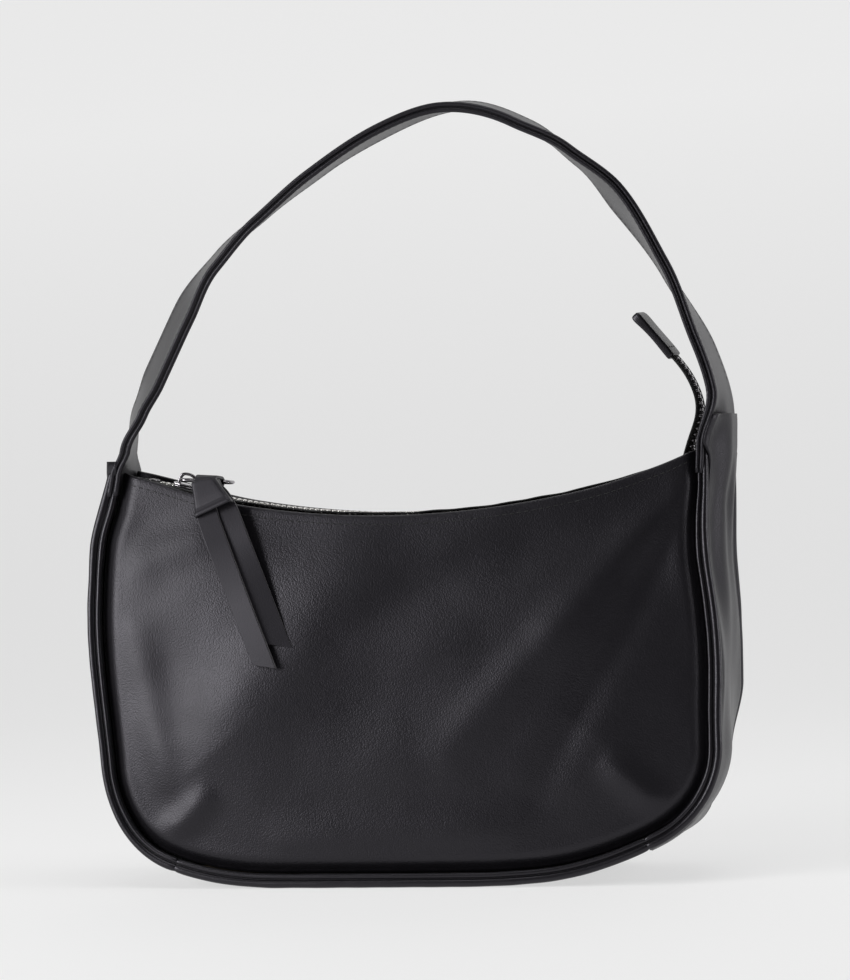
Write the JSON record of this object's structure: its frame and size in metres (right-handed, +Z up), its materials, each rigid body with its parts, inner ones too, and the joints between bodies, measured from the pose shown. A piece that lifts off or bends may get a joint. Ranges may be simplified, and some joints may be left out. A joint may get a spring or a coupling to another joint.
{
  "type": "hobo bag",
  "caption": "Black leather shoulder hobo bag with a curved zip top, corded edges, a wide arched strap, a ring zip pull with leather tails and a free zip end.",
  "frame": {"origin": "centre of the base, on the plane that the bag stands on", "axes": "+X across the bag to its right seen from the front, -Y towards the front, +Z up"},
  "size_m": [0.3012, 0.0934, 0.3645],
  "materials": {
    "black_leather": "smooth grained cow leather, dyed black, satin",
    "edge_leather": "rolled leather edge, satin",
    "strap_leather": "smooth grained leather, satin",
    "pull_leather": "smooth leather, cut edges, satin",
    "gunmetal": "polished dark nickel",
    "zip_metal": "polished nickel",
    "zip_tape": "woven polyester tape, black",
    "lining": "woven black lining",
    "cord": "twisted cotton piping cord",
    "board": "bonded fibre board"
  },
  "bodies": {
    "bag": {"back_facing": "black_leather", "back_lining": "lining", "back_panel": "black_leather", "back_piping_cord": "cord", "back_rim_base": "edge_leather", "back_rim_left": "edge_leather", "back_rim_right": "edge_leather", "back_zip_tape": "zip_tape", "back_zip_teeth": "zip_metal", "base_board": "board", "base_gusset": "black_leather", "front_facing": "black_leather", "front_lining": "lining", "front_panel": "black_leather", "front_piping_cord": "cord", "front_rim_base": "edge_leather", "front_rim_left": "edge_leather", "front_rim_right": "edge_leather", "front_zip_tape": "zip_tape", "front_zip_teeth": "zip_metal", "gusset_lining": "lining", "left_gusset": "black_leather", "right_gusset": "black_leather", "zip_top_stops": "zip_metal"},
    "strap": {"strap_outer": "strap_leather", "strap_core": "board", "strap_inner": "strap_leather", "strap_front_edge": "edge_leather", "strap_back_edge": "edge_leather"},
    "slider": {"slider_body": "gunmetal", "slider_bridge": "gunmetal"},
    "ring": {"pull_ring": "gunmetal"},
    "pull": {"pull_strip": "pull_leather", "pull_keeper": "pull_leather"},
    "zip_tail": {"zip_tail_tape": "zip_tape", "zip_tail_teeth": "zip_metal", "zip_tail_cap": "pull_leather"}
  },
  "joints": [
    {"name": "slider_travel", "type": "hinge", "parent": "bag", "child": "slider", "pos_m": [0, 0, 0.603], "axis": [0, -1, 0], "range_deg": [0, 28.5]},
    {"name": "ring_lift", "type": "hinge", "parent": "slider", "child": "ring", "pos_m": [-0.11261, 0, 0.19059], "axis": [0, -1, 0], "range_deg": [0, 100]},
    {"name": "pull_swing", "type": "hinge", "parent": "ring", "child": "pull", "pos_m": [-0.09746, -0.01, 0.18927], "axis": [-0.9962, 0, 0.0872], "range_deg": [0, 150]},
    {"name": "strap_tilt", "type": "hinge", "parent": "bag", "child": "strap", "pos_m": [0, 0, 0.217], "axis": [1, 0, 0], "range_deg": [-80, 80], "stiffness_Nm_per_rad": 0.14},
    {"name": "tail_bend", "type": "hinge", "parent": "bag", "child": "zip_tail", "pos_m": [0.1275, 0, 0.1885], "axis": [0, 1, 0], "range_deg": [-60, 0], "stiffness_Nm_per_rad": 0.01}
  ]
}
